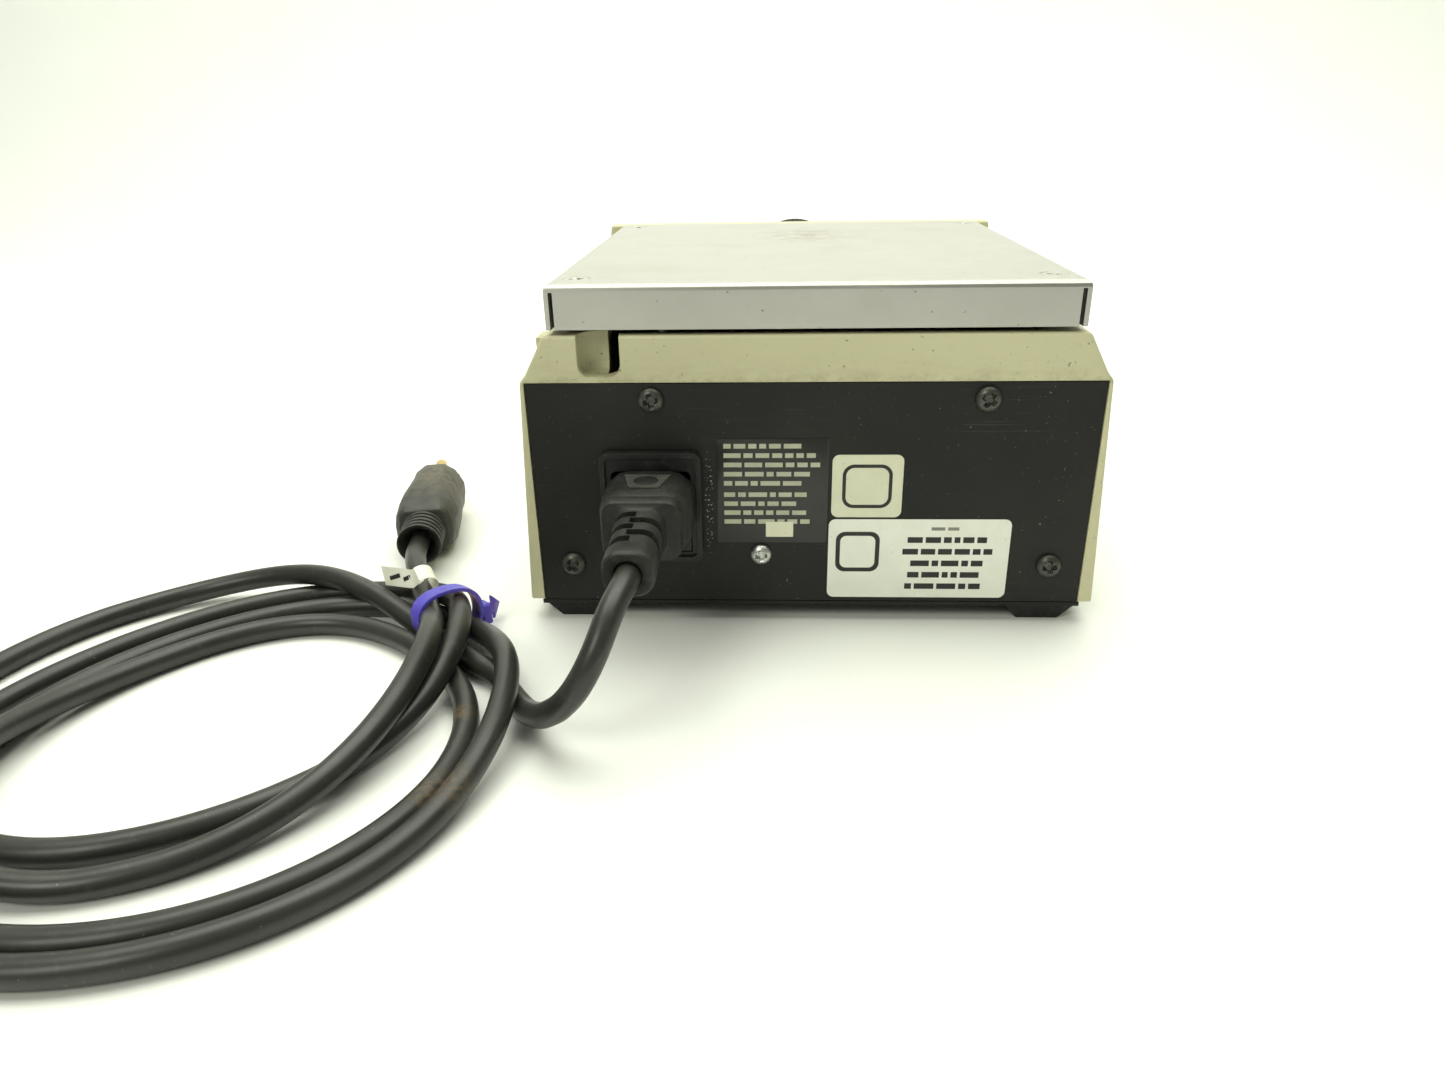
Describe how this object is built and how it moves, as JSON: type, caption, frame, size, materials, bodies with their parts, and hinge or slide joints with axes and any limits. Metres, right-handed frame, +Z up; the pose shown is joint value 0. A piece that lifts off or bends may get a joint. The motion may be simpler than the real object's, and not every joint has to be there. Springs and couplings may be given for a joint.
{
  "type": "vortex mixer",
  "caption": "Bench vortex mixer with a square steel platform that orbits on a crank, a sloping control console, a rear mains inlet with fuse drawer and a coiled mains lead.",
  "frame": {"origin": "centre of the standing plane under the case, without the mains lead", "axes": "+Y to the rear with the mains inlet, -Y to the controls, +Z up"},
  "size_m": [0.3536, 0.3939, 0.1097],
  "materials": {
    "case_paint": "putty-coloured, slightly pebbled, worn",
    "black_paint": "satin black paint on sheet steel",
    "rubber": "matte",
    "stainless": "fine brushed, slightly stained",
    "bare_steel": "plain",
    "zinc": "bright zinc plate",
    "black_screw": "black oxide",
    "aluminium": "milled",
    "brass": "turned",
    "black_plastic": "fine matte",
    "cord_jacket": "satin flexible jacket",
    "tie_plastic": "blue-violet strap",
    "lamp_lens": "translucent lens",
    "panel_overlay": "fine-textured overlay",
    "board": "solder mask",
    "fuse_glass": "clear tube"
  },
  "bodies": {
    "base": {"housing": "case_paint", "rear_panel": "black_paint", "base_plate": "black_paint", "foot_1": "rubber", "foot_2": "rubber", "foot_3": "rubber", "foot_4": "rubber", "drive_frame": "bare_steel", "motor": "bare_steel", "board_transformer": "bare_steel", "potentiometer": "zinc", "ground_screw": "zinc", "inlet_pin_earth": "zinc", "inlet_pin_live": "zinc", "inlet_pin_neutral": "zinc", "rear_screw_1": "black_screw", "rear_screw_2": "black_screw", "rear_screw_3": "black_screw", "rear_screw_4": "black_screw", "board_heat_sink": "aluminium", "idler_bush_1": "brass", "idler_bush_2": "brass", "idler_bush_3": "brass", "idler_bush_4": "brass", "inlet_body": "black_plastic", "switch_frame": "black_plastic", "power_lamp": "lamp_lens", "control_panel": "panel_overlay", "board_capacitor": "panel_overlay", "control_board": "board"},
    "crank": {"motor_shaft": "zinc", "drive_crank": "bare_steel"},
    "platform": {"platform_plate": "stainless", "platform_carrier": "aluminium", "platform_bearing": "zinc", "platform_screw_1": "zinc", "platform_screw_2": "zinc", "platform_screw_3": "zinc", "platform_screw_4": "zinc"},
    "idler_1": {"idler_crank_1": "zinc"},
    "idler_2": {"idler_crank_2": "zinc"},
    "idler_3": {"idler_crank_3": "zinc"},
    "idler_4": {"idler_crank_4": "zinc"},
    "knob": {"speed_knob": "black_plastic", "potentiometer_shaft": "brass"},
    "rocker": {"switch_rocker": "black_plastic"},
    "drawer": {"fuse_drawer": "black_plastic", "fuse": "fuse_glass"},
    "mains_lead": {"mains_connector": "cord_jacket", "lead_tube": "cord_jacket", "cord_coil": "cord_jacket", "cord_tie": "tie_plastic", "tail_tube": "cord_jacket", "plug_body": "cord_jacket", "plug_blade_1": "brass", "plug_blade_2": "brass", "plug_ground_pin": "brass"}
  },
  "joints": [
    {"name": "motor_spin", "type": "hinge", "parent": "base", "child": "crank", "pos_m": [0, 0.03255, 0.08], "axis": [0, 0, 1], "continuous": true},
    {"name": "platform_orbit", "type": "hinge", "parent": "crank", "child": "platform", "pos_m": [0.0018, 0.03255, 0.095], "axis": [0, 0, 1], "continuous": true},
    {"name": "idler_1_spin", "type": "hinge", "parent": "base", "child": "idler_1", "pos_m": [0.046, 0.08255, 0.07], "axis": [0, 0, 1], "continuous": true},
    {"name": "idler_2_spin", "type": "hinge", "parent": "base", "child": "idler_2", "pos_m": [-0.046, 0.08255, 0.07], "axis": [0, 0, 1], "continuous": true},
    {"name": "idler_3_spin", "type": "hinge", "parent": "base", "child": "idler_3", "pos_m": [0.046, -0.01745, 0.07], "axis": [0, 0, 1], "continuous": true},
    {"name": "idler_4_spin", "type": "hinge", "parent": "base", "child": "idler_4", "pos_m": [-0.046, -0.01745, 0.07], "axis": [0, 0, 1], "continuous": true},
    {"name": "speed_knob_turn", "type": "hinge", "parent": "base", "child": "knob", "pos_m": [0.0007, -0.09077, 0.08775], "axis": [0, -0.6429, 0.766], "range_deg": [-150, 150]},
    {"name": "power_rocker", "type": "hinge", "parent": "base", "child": "rocker", "pos_m": [-0.05, -0.09216, 0.08397], "axis": [1, 0, 0], "range_deg": [0, 20]},
    {"name": "fuse_drawer_slide", "type": "slide", "parent": "base", "child": "drawer", "axis": [0, 1, 0], "range_m": [0, 0.013]},
    {"name": "connector_pull", "type": "slide", "parent": "base", "child": "mains_lead", "axis": [0, 1, 0], "range_m": [0, 0.03]}
  ],
  "couplings": [
    {"joint": "platform_orbit", "follows": "motor_spin", "ratio": -1},
    {"joint": "idler_1_spin", "follows": "motor_spin", "ratio": 1},
    {"joint": "idler_2_spin", "follows": "motor_spin", "ratio": 1},
    {"joint": "idler_3_spin", "follows": "motor_spin", "ratio": 1},
    {"joint": "idler_4_spin", "follows": "motor_spin", "ratio": 1}
  ]
}
